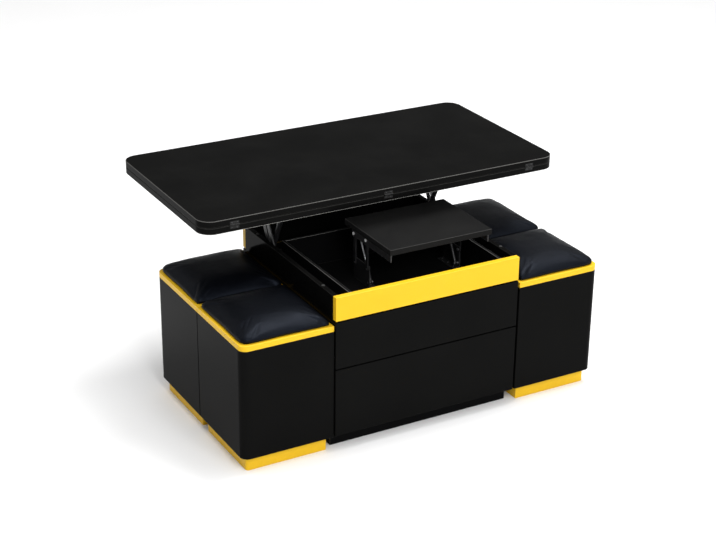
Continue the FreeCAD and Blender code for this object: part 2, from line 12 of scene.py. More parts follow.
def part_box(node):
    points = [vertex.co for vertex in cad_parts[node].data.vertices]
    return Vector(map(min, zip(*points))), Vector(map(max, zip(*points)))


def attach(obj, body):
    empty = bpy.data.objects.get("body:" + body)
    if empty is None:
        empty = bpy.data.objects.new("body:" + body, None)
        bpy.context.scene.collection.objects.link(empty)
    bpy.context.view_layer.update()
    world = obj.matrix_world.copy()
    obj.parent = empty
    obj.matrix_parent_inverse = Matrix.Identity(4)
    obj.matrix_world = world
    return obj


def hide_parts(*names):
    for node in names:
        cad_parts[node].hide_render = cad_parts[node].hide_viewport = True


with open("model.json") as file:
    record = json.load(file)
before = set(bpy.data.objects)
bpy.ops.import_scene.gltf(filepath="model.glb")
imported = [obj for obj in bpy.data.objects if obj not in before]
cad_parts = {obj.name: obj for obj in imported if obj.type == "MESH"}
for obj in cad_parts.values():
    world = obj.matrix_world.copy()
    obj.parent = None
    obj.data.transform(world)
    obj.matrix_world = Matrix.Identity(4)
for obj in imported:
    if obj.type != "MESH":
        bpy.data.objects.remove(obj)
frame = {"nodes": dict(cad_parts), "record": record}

# Looks of a coffee table that turns into a dining table: black lacquered boards, golden yellow bands and
# plinths, black leather stool cushions, and the steel linkages of its lifting top and tray. Metres.

LOG = logging.getLogger("table")

Colour = tuple[float, float, float, float]
Socket = bpy.types.NodeSocket
Span = tuple[Vector, Vector]

UP = Vector((0.0, 0.0, 1.0))
DOWN = Vector((0.0, 0.0, -1.0))
FRONT = Vector((0.0, -1.0, 0.0))
RIGHT = Vector((1.0, 0.0, 0.0))
LEFT = Vector((-1.0, 0.0, 0.0))

# Sockets of the Mix node in its colour mode.
MIX_FACTOR, MIX_FIRST, MIX_SECOND, MIX_RESULT = 0, 6, 7, 2


class Slot(str, Enum):
    """Material slots of the record."""

    BLACK_LACQUER = "black_lacquer"
    GOLD_LACQUER = "gold_lacquer"
    BLACK_BOARD = "black_board"
    BLACK_LEATHER = "black_leather"
    BLACK_STEEL = "black_steel"
    BRIGHT_STEEL = "bright_steel"
    BLACK_RUBBER = "black_rubber"


class StoolPlace(str, Enum):
    """Where a stool parks, and the name of its body."""

    FRONT_LEFT = "stool_front_left"
    REAR_LEFT = "stool_rear_left"
    FRONT_RIGHT = "stool_front_right"
    REAR_RIGHT = "stool_rear_right"


class Sketch:
    """Adds and wires the nodes of one node tree."""

    def __init__(self, tree: bpy.types.NodeTree) -> None:
        """Keep the tree that the nodes go into."""
        self.tree = tree

    def add(self, kind: str, inputs: dict | None = None, **settings: object) -> bpy.types.Node:
        """Add one node.

        Args:
            kind: Type name of the node.
            inputs: Values to set or sockets to link, by the input's name or number.
            settings: Properties of the node itself.

        Returns:
            The new node.
        """
        node = self.tree.nodes.new(kind)
        for name, value in settings.items():
            setattr(node, name, value)
        self.wire(node, inputs or {})
        return node

    def wire(self, node: bpy.types.Node, inputs: dict) -> None:
        """Set or link several inputs of a node, by their names or numbers."""
        for name, value in inputs.items():
            self.feed(node.inputs[name], value)

    def feed(self, socket: Socket, value: object) -> None:
        """Link a socket into an input, or set the input's own value."""
        if isinstance(value, bpy.types.NodeSocket):
            self.tree.links.new(value, socket)
        else:
            socket.default_value = value

    def math(self, operation: str, first: object, second: object = 0.0, clamp: bool = False) -> Socket:
        """Work out one value from two.

        Args:
            operation: Name of the sum.
            first: Value or socket.
            second: Value or socket.
            clamp: Keep the result between 0 and 1.

        Returns:
            The result's socket.
        """
        node = self.add("ShaderNodeMath", {0: first, 1: second}, operation=operation, use_clamp=clamp)
        return node.outputs[0]

    def blend(self, factor: object, first: object, second: object) -> Socket:
        """Mix two colours by a factor and return the result's socket."""
        inputs = {MIX_FACTOR: factor, MIX_FIRST: first, MIX_SECOND: second}
        return self.add("ShaderNodeMix", inputs, data_type="RGBA").outputs[MIX_RESULT]

    def remap(
        self, value: Socket, low: float, high: float, to_low: float = 0.0, to_high: float = 1.0
    ) -> Socket:
        """Stretch a value from one range to another and return the result's socket."""
        inputs = {0: value, 1: low, 2: high, 3: to_low, 4: to_high}
        return self.add("ShaderNodeMapRange", inputs).outputs[0]

    def noise(self, vector: Socket, scale: object, detail: float, rough: float = 0.5) -> Socket:
        """Add a noise pattern on a coordinate and return its value's socket."""
        inputs = {"Vector": vector, "Scale": scale, "Detail": detail, "Roughness": rough}
        return self.add("ShaderNodeTexNoise", inputs).outputs["Fac"]

    def bump(self, height: Socket, strength: float, depth: float, **more: Socket) -> Socket:
        """Turn a height into a bumpy normal and return its socket."""
        inputs = {"Height": height, "Strength": strength, "Distance": depth} | more
        return self.add("ShaderNodeBump", inputs).outputs[0]

    def place(self) -> Socket:
        """Return the socket of the coordinate that stays with the object."""
        return self.add("ShaderNodeTexCoord").outputs["Object"]


class EffectGroups:
    """Shader node groups that several finishes share, each built once."""

    # Shape of the edge mask, for worn edges and painted highlight lines, and of the rim masks, for
    # painted highlights.
    EDGE_TURN = (0.01, 0.16)
    WEAR_AND_HIGHLIGHT_PATCHES = (0.3, 0.7)
    LEAST_WEAR_AND_HIGHLIGHT = 0.35
    RIM_TURNED = (0.06, 0.2)
    RIM_LEVEL = (0.9, 0.985)
    CLOUD_SHARE = 0.75
    TONE_RANGE = (0.3, 0.7)
    LYING_FLAT = 0.75
    DUST_PATCHES = (0.4, 0.75)
    GRAIN_SCALE = 900.0
    GRAIN_RANGE = (0.35, 0.75)
    LEAST_GRAIN = 0.2
    STREAK_STRETCH = (1.0, 0.06, 1.0)
    STREAK_RANGE = (0.3, 0.7)

    def __init__(self) -> None:
        """Build the four groups."""
        self.edge_wear_and_highlight_masks = self._edge_wear_and_highlight_masks()
        self.lacquer_peel = self._lacquer_peel()
        self.settled_dust = self._settled_dust()
        self.brushing = self._brushing()

    @staticmethod
    def _start(
        name: str, inputs: dict[str, float], outputs: tuple[str, ...]
    ) -> tuple[Sketch, dict[str, Socket], bpy.types.Node]:
        """Open a new group.

        Args:
            name: The group's name.
            inputs: Names of its inputs with their defaults.
            outputs: Names of its outputs.

        Returns:
            The sketch, the inner sockets of the inputs, and the output node.
        """
        tree = bpy.data.node_groups.new(name, "ShaderNodeTree")
        for title, value in inputs.items():
            socket = tree.interface.new_socket(title, in_out="INPUT", socket_type="NodeSocketFloat")
            socket.default_value = value
        for title in outputs:
            tree.interface.new_socket(title, in_out="OUTPUT", socket_type="NodeSocketFloat")
        sketch = Sketch(tree)
        entry = sketch.add("NodeGroupInput")
        sockets = {title: entry.outputs[title] for title in inputs}
        return sketch, sockets, sketch.add("NodeGroupOutput")

    def _edge_wear_and_highlight_masks(self) -> bpy.types.NodeTree:
        """Edge mask, broken up unevenly, for worn edges and painted highlight lines, and masks of
        painted highlights on the rounded upper and lower rims.
        """
        names = {"Radius": 0.002, "Breakup": 60.0}
        sketch, inputs, leave = self._start("edge_wear_and_highlight_masks", names, ("Mask", "Upper Rim Highlight", "Lower Rim Highlight"))
        bevel = sketch.add("ShaderNodeBevel", {"Radius": inputs["Radius"]}, samples=8)
        flat = sketch.add("ShaderNodeNewGeometry").outputs["Normal"]
        dot = sketch.add("ShaderNodeVectorMath", {0: bevel.outputs[0], 1: flat}, operation="DOT_PRODUCT")
        edge = sketch.math("SUBTRACT", 1.0, dot.outputs["Value"], clamp=True)
        edge = sketch.remap(edge, *self.EDGE_TURN)
        breakup = sketch.noise(sketch.place(), inputs["Breakup"], detail=4.0)
        patchy = sketch.remap(breakup, *self.WEAR_AND_HIGHLIGHT_PATCHES, to_low=self.LEAST_WEAR_AND_HIGHLIGHT)
        sketch.feed(leave.inputs["Mask"], sketch.math("MULTIPLY", edge, patchy, clamp=True))
        # Rim masks: painted highlights on rounded rims turned upwards and on rounded rims turned
        # downwards.
        rise = sketch.add("ShaderNodeSeparateXYZ", {0: flat}).outputs["Z"]
        for title, height in (("Upper Rim Highlight", rise), ("Lower Rim Highlight", sketch.math("MULTIPLY", rise, -1.0))):
            turned = sketch.remap(height, *self.RIM_TURNED)
            level = sketch.remap(height, *self.RIM_LEVEL, to_low=1.0, to_high=0.0)
            sketch.feed(leave.inputs[title], sketch.math("MULTIPLY", turned, level, clamp=True))
        return sketch.tree

    def _lacquer_peel(self) -> bpy.types.NodeTree:
        """Faint orange peel of a sprayed coat, with slow changes of tone under it."""
        names = {"Peel": 420.0, "Cloud": 5.0}
        sketch, inputs, leave = self._start("lacquer_peel", names, ("Tone", "Height"))
        place = sketch.place()
        cloud = sketch.noise(place, inputs["Cloud"], detail=3.0)
        speck = sketch.noise(place, inputs["Peel"], detail=2.0)
        slow = sketch.math("MULTIPLY", cloud, self.CLOUD_SHARE)
        fine = sketch.math("MULTIPLY", speck, 1.0 - self.CLOUD_SHARE)
        tone = sketch.math("ADD", slow, fine)
        sketch.feed(leave.inputs["Tone"], sketch.remap(tone, *self.TONE_RANGE))
        sketch.feed(leave.inputs["Height"], speck)
        return sketch.tree

    def _settled_dust(self) -> bpy.types.NodeTree:
        """Mask of thin dust on faces that look up."""
        sketch, inputs, leave = self._start("settled_dust", {"Patch": 9.0}, ("Mask",))
        normal = sketch.add("ShaderNodeNewGeometry").outputs["Normal"]
        split = sketch.add("ShaderNodeSeparateXYZ", {0: normal})
        lying = sketch.remap(split.outputs["Z"], self.LYING_FLAT, 1.0)
        place = sketch.place()
        patch = sketch.noise(place, inputs["Patch"], detail=5.0, rough=0.6)
        patch = sketch.remap(patch, *self.DUST_PATCHES)
        grain = sketch.noise(place, self.GRAIN_SCALE, detail=1.0)
        grain = sketch.remap(grain, *self.GRAIN_RANGE, to_low=self.LEAST_GRAIN)
        mask = sketch.math("MULTIPLY", sketch.math("MULTIPLY", lying, patch), grain, clamp=True)
        sketch.feed(leave.inputs["Mask"], mask)
        return sketch.tree

    def _brushing(self) -> bpy.types.NodeTree:
        """Fine streaks of drawn or rolled steel along Y and Z."""
        sketch, inputs, leave = self._start("brushing", {"Fineness": 900.0}, ("Streak",))
        stretch = {"Vector": sketch.place(), "Scale": self.STREAK_STRETCH}
        drawn = sketch.add("ShaderNodeMapping", stretch).outputs[0]
        streak = sketch.noise(drawn, inputs["Fineness"], detail=3.0)
        sketch.feed(leave.inputs["Streak"], sketch.remap(streak, *self.STREAK_RANGE))
        return sketch.tree


GROUPS = EffectGroups()


def new_material(name: str) -> tuple[bpy.types.Material, Sketch, bpy.types.Node]:
    """Start a material with one Principled shader.

    Args:
        name: Name of the material.

    Returns:
        The material, the sketch of its tree, and the shader node.
    """
    material = bpy.data.materials.new(name)
    material.use_nodes = True
    sketch = Sketch(material.node_tree)
    shader = next(node for node in material.node_tree.nodes if node.type == "BSDF_PRINCIPLED")
    return material, sketch, shader


def use_group(sketch: Sketch, group: bpy.types.NodeTree, **values: float) -> bpy.types.Node:
    """Place a shared group in a material.

    Args:
        sketch: Sketch of the material.
        group: The group to place.
        values: Its input values, by name with the first letter small.

    Returns:
        The group's node.
    """
    node = sketch.add("ShaderNodeGroup", node_tree=group)
    for name, value in values.items():
        node.inputs[name.capitalize()].default_value = value
    return node


@dataclass(frozen=True)
class Lacquer:
    """Sprayed or faced board: its colours, gloss, its worn edges with painted highlight lines, and
    painted highlights on its rounded rims.
    """

    name: str
    colour: Colour
    tone: Colour
    # Colour of worn edges and of painted highlight lines on edges and rims.
    edge: Colour
    edge_share: float
    upper_rim_highlight_share: float
    lower_rim_highlight_share: float
    dust: Colour
    dust_share: float
    roughness: float
    roughness_spread: float
    specular: float
    coat: float = 0.0
    coat_roughness: float = 0.12
    peel_scale: float = 420.0
    peel_depth: float = 0.00002
    edge_radius: float = 0.0025
    inner_face_colour: Colour | None = None
    inner_face_sign: float = 1.0
    inner_face_turn: tuple[float, float] = (0.6, 0.9)
    cloud_scale: float = 6.0
    breakup_scale: float = 45.0
    dust_patch: float = 7.0
    dust_dulling: float = 0.4
    peel_strength: float = 0.35

    def material(self) -> bpy.types.Material:
        """Build the material and return it."""
        material, sketch, shader = new_material(self.name)
        peel = use_group(sketch, GROUPS.lacquer_peel, peel=self.peel_scale, cloud=self.cloud_scale)
        worn_and_lit_edges = use_group(sketch, GROUPS.edge_wear_and_highlight_masks, radius=self.edge_radius, breakup=self.breakup_scale)
        dust = use_group(sketch, GROUPS.settled_dust, patch=self.dust_patch)
        colour = sketch.blend(peel.outputs["Tone"], self.colour, self.tone)
        # Faces turned to the inside of the cabinet are black.
        if self.inner_face_colour is not None:
            normal = sketch.add("ShaderNodeNewGeometry").outputs["Normal"]
            facing = sketch.add("ShaderNodeSeparateXYZ", {0: normal}).outputs["Y"]
            inner = sketch.math("MULTIPLY", facing, self.inner_face_sign)
            colour = sketch.blend(sketch.remap(inner, *self.inner_face_turn), colour, self.inner_face_colour)
        # Edge colour: worn edges with painted highlight lines, and painted highlights on the rounded
        # upper and lower rims.
        edge = sketch.math("MULTIPLY", worn_and_lit_edges.outputs["Mask"], self.edge_share)
        upper = sketch.math("MULTIPLY", worn_and_lit_edges.outputs["Upper Rim Highlight"], self.upper_rim_highlight_share)
        lower = sketch.math("MULTIPLY", worn_and_lit_edges.outputs["Lower Rim Highlight"], self.lower_rim_highlight_share)
        edge = sketch.math("MAXIMUM", edge, sketch.math("MAXIMUM", upper, lower))
        colour = sketch.blend(edge, colour, self.edge)
        film = sketch.math("MULTIPLY", dust.outputs["Mask"], self.dust_share)
        colour = sketch.blend(film, colour, self.dust)
        gloss = (self.roughness - self.roughness_spread, self.roughness + self.roughness_spread)
        rough = sketch.remap(peel.outputs["Tone"], 0.0, 1.0, *gloss)
        dulled = sketch.math("MULTIPLY", film, self.dust_dulling)
        rough = sketch.math("ADD", rough, dulled, clamp=True)
        bump = sketch.bump(peel.outputs["Height"], self.peel_strength, self.peel_depth)
        sketch.wire(shader, {"Base Color": colour, "Roughness": rough, "Normal": bump})
        coat = {"Coat Weight": self.coat, "Coat Roughness": self.coat_roughness}
        sketch.wire(shader, coat | {"Specular IOR Level": self.specular})
        return material


@dataclass(frozen=True)
class Leather:
    """Soft leather over foam: pebble grain, fine creases and a low sheen."""

    name: str
    colour: Colour
    raised: Colour
    worn: Colour
    roughness: float
    specular: float
    gleam: Colour
    pebble_scale: float = 520.0
    crease_scale: float = 34.0
    pebble_depth: float = 0.0004
    crease_depth: float = 0.0007
    wobble_scale: float = 160.0
    wobble_reach: float = 0.0016
    pebble_edge: float = 0.22
    pebble_strength: float = 0.32
    crease_stretch: tuple[float, float, float] = (1.0, 1.0, 0.4)
    crease_range: tuple[float, float] = (0.36, 0.66)
    crease_strength: float = 0.25
    cloud_scale: float = 11.0
    cloud_range: tuple[float, float] = (0.35, 0.7)
    raised_share: float = 0.55
    worn_share: float = 0.4
    groove_dulling: float = 0.16
    cloud_dulling: float = 0.06

    def material(self) -> bpy.types.Material:
        """Build the material and return it."""
        material, sketch, shader = new_material(self.name)
        place = sketch.place()
        noisy = {"Vector": place, "Scale": self.wobble_scale, "Detail": 2.0}
        wobble = sketch.add("ShaderNodeTexNoise", noisy).outputs["Color"]
        reach = {0: wobble, "Scale": self.wobble_reach}
        shift = sketch.add("ShaderNodeVectorMath", reach, operation="SCALE").outputs[0]
        bent = sketch.add("ShaderNodeVectorMath", {0: place, 1: shift}, operation="ADD").outputs[0]
        fineness = {"Vector": bent, "Scale": self.pebble_scale}
        cells = sketch.add("ShaderNodeTexVoronoi", fineness, feature="DISTANCE_TO_EDGE")
        pebble = sketch.remap(cells.outputs["Distance"], 0.0, self.pebble_edge)
        stretch = {"Vector": place, "Scale": self.crease_stretch}
        drawn = sketch.add("ShaderNodeMapping", stretch).outputs[0]
        crease = sketch.noise(drawn, self.crease_scale, detail=6.0, rough=0.62)
        fold = sketch.remap(crease, *self.crease_range)
        cloud = sketch.noise(place, self.cloud_scale, detail=3.0)
        cloud = sketch.remap(cloud, *self.cloud_range)
        raised = sketch.math("MULTIPLY", pebble, self.raised_share)
        colour = sketch.blend(raised, self.colour, self.raised)
        worn = sketch.math("MULTIPLY", cloud, self.worn_share)
        colour = sketch.blend(worn, colour, self.worn)
        groove = self.roughness + self.groove_dulling
        rough = sketch.remap(pebble, 0.0, 1.0, groove, self.roughness)
        dulled = sketch.math("MULTIPLY", cloud, self.cloud_dulling)
        rough = sketch.math("ADD", rough, dulled, clamp=True)
        fine = sketch.bump(pebble, self.pebble_strength, self.pebble_depth)
        bump = sketch.bump(fold, self.crease_strength, self.crease_depth, Normal=fine)
        sketch.wire(shader, {"Base Color": colour, "Roughness": rough, "Normal": bump})
        sketch.wire(shader, {"Specular IOR Level": self.specular, "Specular Tint": self.gleam})
        return material


@dataclass(frozen=True)
class Steel:
    """Plated steel with rolling marks and dulled patches."""

    name: str
    colour: Colour
    dull: Colour
    roughness: float
    metallic: float = 1.0
    fineness: float = 700.0
    patch_scale: float = 70.0
    patch_range: tuple[float, float] = (0.4, 0.7)
    patch_dulling: float = 0.1
    dull_share: float = 0.5
    streak_spread: tuple[float, float] = (-0.06, 0.1)
    streak_strength: float = 0.15
    streak_depth: float = 0.00005

    def material(self) -> bpy.types.Material:
        """Build the material and return it."""
        material, sketch, shader = new_material(self.name)
        streak = use_group(sketch, GROUPS.brushing, fineness=self.fineness).outputs["Streak"]
        patch = sketch.noise(sketch.place(), self.patch_scale, detail=4.0)
        patch = sketch.remap(patch, *self.patch_range)
        dull = sketch.math("MULTIPLY", patch, self.dull_share)
        colour = sketch.blend(dull, self.colour, self.dull)
        gloss = [self.roughness + spread for spread in self.streak_spread]
        rough = sketch.remap(streak, 0.0, 1.0, *gloss)
        dulled = sketch.math("MULTIPLY", patch, self.patch_dulling)
        rough = sketch.math("ADD", rough, dulled, clamp=True)
        bump = sketch.bump(streak, self.streak_strength, self.streak_depth)
        sketch.wire(shader, {"Base Color": colour, "Roughness": rough, "Normal": bump})
        sketch.wire(shader, {"Metallic": self.metallic})
        return material


@dataclass(frozen=True)
class Rubber:
    """Soft moulded pads, a little chalky."""

    name: str
    colour: Colour
    chalk: Colour
    roughness: float
    cloud_scale: float = 240.0
    cloud_range: tuple[float, float] = (0.35, 0.7)
    chalk_dulling: float = 0.2
    bump_strength: float = 0.1
    bump_depth: float = 0.0001

    def material(self) -> bpy.types.Material:
        """Build the material and return it."""
        material, sketch, shader = new_material(self.name)
        cloud = sketch.noise(sketch.place(), self.cloud_scale, detail=3.0)
        cloud = sketch.remap(cloud, *self.cloud_range)
        rough = sketch.remap(cloud, 0.0, 1.0, self.roughness, self.roughness + self.chalk_dulling)
        bump = sketch.bump(cloud, self.bump_strength, self.bump_depth)
        colour = sketch.blend(cloud, self.colour, self.chalk)
        sketch.wire(shader, {"Base Color": colour, "Roughness": rough, "Normal": bump})
        return material


BLACK_LACQUER = Lacquer(
    name="black satin lacquer",
    colour=(0.0031, 0.0031, 0.003, 1.0),
    tone=(0.0039, 0.0039, 0.0037, 1.0),
    # Light edge colour: worn edges with painted highlight lines on edges and rims.
    edge=(0.03, 0.0295, 0.028, 1.0),
    edge_share=0.3,
    upper_rim_highlight_share=0.4,
    lower_rim_highlight_share=0.2,
    dust=(0.12, 0.118, 0.112, 1.0),
    dust_share=0.03,
    roughness=0.13,
    roughness_spread=0.03,
    specular=0.012,
    coat=0.026,
)
DRAWER_FRONT = replace(
    BLACK_LACQUER,
    name="black satin lacquer of the drawer fronts",
    edge_share=0.0,
    upper_rim_highlight_share=0.0,
    lower_rim_highlight_share=0.0,
)
# The leaves carry painted highlight lines on their edges and on the upper leaf's top rim, and a bright
# painted highlight line on the lower leaf's bottom rim.
UPPER_LEAF = replace(
    BLACK_LACQUER,
    name="black satin lacquer of the upper leaf",
    edge=(0.3, 0.296, 0.28, 1.0),
    edge_share=0.1,
    upper_rim_highlight_share=0.3,
    lower_rim_highlight_share=0.06,
)
LOWER_LEAF = replace(
    UPPER_LEAF, name="black satin lacquer of the lower leaf", upper_rim_highlight_share=0.06, lower_rim_highlight_share=1.0
)
GOLD_LACQUER = Lacquer(
    name="golden yellow lacquer",
    colour=(0.76, 0.46, 0.017, 1.0),
    tone=(0.73, 0.44, 0.015, 1.0),
    # Lighter gold on edges and upper rims: worn edges with painted highlights.
    edge=(0.86, 0.58, 0.08, 1.0),
    edge_share=0.4,
    upper_rim_highlight_share=0.4,
    lower_rim_highlight_share=0.1,
    dust=(0.6, 0.5, 0.3, 1.0),
    dust_share=0.05,
    roughness=0.3,
    roughness_spread=0.05,
    specular=0.12,
)
# The bands are black on their faces turned to the inside of the cabinet.
FRONT_BAND = replace(GOLD_LACQUER, name="golden band, black on its rear face", inner_face_colour=BLACK_LACQUER.colour)
REAR_BAND = replace(FRONT_BAND, name="golden band, black on its front face", inner_face_sign=-1.0)
# Darker than the tray's board: painted shade of the storage well, shared by the other black boards; its
# light edge colour paints highlight lines on the top edges of the well's walls.
BLACK_BOARD = Lacquer(
    name="black faced board",
    colour=(0.0032, 0.0032, 0.0034, 1.0),
    tone=(0.0042, 0.0042, 0.0045, 1.0),
    edge=(0.22, 0.218, 0.21, 1.0),
    edge_share=0.5,
    upper_rim_highlight_share=0.7,
    lower_rim_highlight_share=0.1,
    dust=(0.14, 0.138, 0.13, 1.0),
    dust_share=0.05,
    roughness=0.42,
    roughness_spread=0.06,
    specular=0.02,
    peel_scale=700.0,
)
# The tray's copy of the black board, painted lighter than the shaded well.
TRAY_BOARD = replace(
    BLACK_BOARD,
    name="black faced board of the tray",
    colour=(0.0085, 0.0085, 0.0086, 1.0),
    tone=(0.0098, 0.0097, 0.0095, 1.0),
    edge=(0.06, 0.059, 0.057, 1.0),
)
BLACK_STEEL = Lacquer(
    name="black powder coated steel",
    colour=(0.011, 0.011, 0.012, 1.0),
    tone=(0.015, 0.015, 0.016, 1.0),
    # Light grey edges: worn coating with painted highlight lines.
    edge=(0.2, 0.2, 0.205, 1.0),
    edge_share=0.6,
    upper_rim_highlight_share=0.0,
    lower_rim_highlight_share=0.0,
    dust=(0.15, 0.148, 0.14, 1.0),
    dust_share=0.08,
    roughness=0.38,
    roughness_spread=0.07,
    specular=0.4,
    peel_scale=1400.0,
    peel_depth=0.00006,
    edge_radius=0.0012,
)
HINGE_STEEL = replace(
    BLACK_STEEL,
    name="black steel of the flip hinges",
    colour=(0.006, 0.006, 0.006, 1.0),
    tone=(0.009, 0.009, 0.009, 1.0),
    # Grey edges: worn coating with painted highlight lines.
    edge=(0.09, 0.09, 0.092, 1.0),
    specular=0.2,
)
BLACK_LEATHER = Leather(
    name="black leather",
    colour=(0.0007, 0.0008, 0.0013, 1.0),
    raised=(0.0012, 0.0014, 0.0022, 1.0),
    worn=(0.0017, 0.002, 0.003, 1.0),
    roughness=0.34,
    specular=0.125,
    gleam=(0.6, 0.72, 1.0, 1.0),
)
BRIGHT_STEEL = Steel(
    name="zinc plated steel",
    colour=(0.66, 0.67, 0.69, 1.0),
    dull=(0.42, 0.43, 0.45, 1.0),
    roughness=0.3,
)
PALE_ZINC = replace(
    BRIGHT_STEEL,
    name="zinc plated heads of the tray's pins",
    colour=(0.9, 0.9, 0.9, 1.0),
    dull=(0.8, 0.8, 0.8, 1.0),
    roughness=0.5,
    metallic=0.3,
)
BLACK_RUBBER = Rubber(
    name="black rubber",
    colour=(0.008, 0.008, 0.008, 1.0),
    chalk=(0.016, 0.016, 0.015, 1.0),
    roughness=0.55,
)


class Finishes:
    """Materials of the record's slots, and the few nodes that have a finish of their own."""

    def __init__(self, record: dict) -> None:
        """Build every material.

        Args:
            record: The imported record.
        """
        self.by_slot = {
            Slot.BLACK_LACQUER: BLACK_LACQUER.material(),
            Slot.GOLD_LACQUER: GOLD_LACQUER.material(),
            Slot.BLACK_BOARD: BLACK_BOARD.material(),
            Slot.BLACK_LEATHER: BLACK_LEATHER.material(),
            Slot.BLACK_STEEL: BLACK_STEEL.material(),
            Slot.BRIGHT_STEEL: BRIGHT_STEEL.material(),
            Slot.BLACK_RUBBER: BLACK_RUBBER.material(),
        }
        self.by_node = {
            "front_band": FRONT_BAND.material(),
            "rear_band": REAR_BAND.material(),
            "lower_leaf": LOWER_LEAF.material(),
            "upper_leaf": UPPER_LEAF.material(),
            "tray_board": TRAY_BOARD.material(),
            "tray_upper_pins": PALE_ZINC.material(),
        }
        fronts = ("upper_drawer_front", "lower_drawer_front")
        self.by_node |= dict.fromkeys(fronts, DRAWER_FRONT.material())
        hinges = ("flip_hinge_lower_halves", "flip_hinge_upper_halves", "flip_hinge_pins")
        self.by_node |= dict.fromkeys(hinges, HINGE_STEEL.material())
        self.slot_of = {row["node"]: Slot(row["material_slot"]) for row in record["subparts"]}

    def dress(self, node: str) -> None:
        """Give a CAD node its material."""
        material = self.by_node.get(node, self.by_slot[self.slot_of[node]])
        dress_object(frame["nodes"][node], material)
        LOG.info("dressed %s in %s", node, material.name)


def dress_object(piece: bpy.types.Object, material: bpy.types.Material) -> None:
    """Put one material in every slot of an object."""
    if not piece.material_slots:
        piece.data.materials.append(material)
    for slot in piece.material_slots:
        slot.material = material


def plain_object(name: str, mesh: bpy.types.Mesh, material: bpy.types.Material) -> bpy.types.Object:
    """Put a mesh into the scene at the origin and dress it.

    Args:
        name: Name of the piece.
        mesh: Its mesh, with its place in it.
        material: Its material.

    Returns:
        The new object.
    """
    piece = bpy.data.objects.new(name, mesh)
    bpy.context.scene.collection.objects.link(piece)
    dress_object(piece, material)
    return piece


def baked_mesh(piece: bpy.types.Object) -> bpy.types.Mesh:
    """Return the mesh of an object with its modifiers applied."""
    graph = bpy.context.evaluated_depsgraph_get()
    return bpy.data.meshes.new_from_object(piece.evaluated_get(graph))


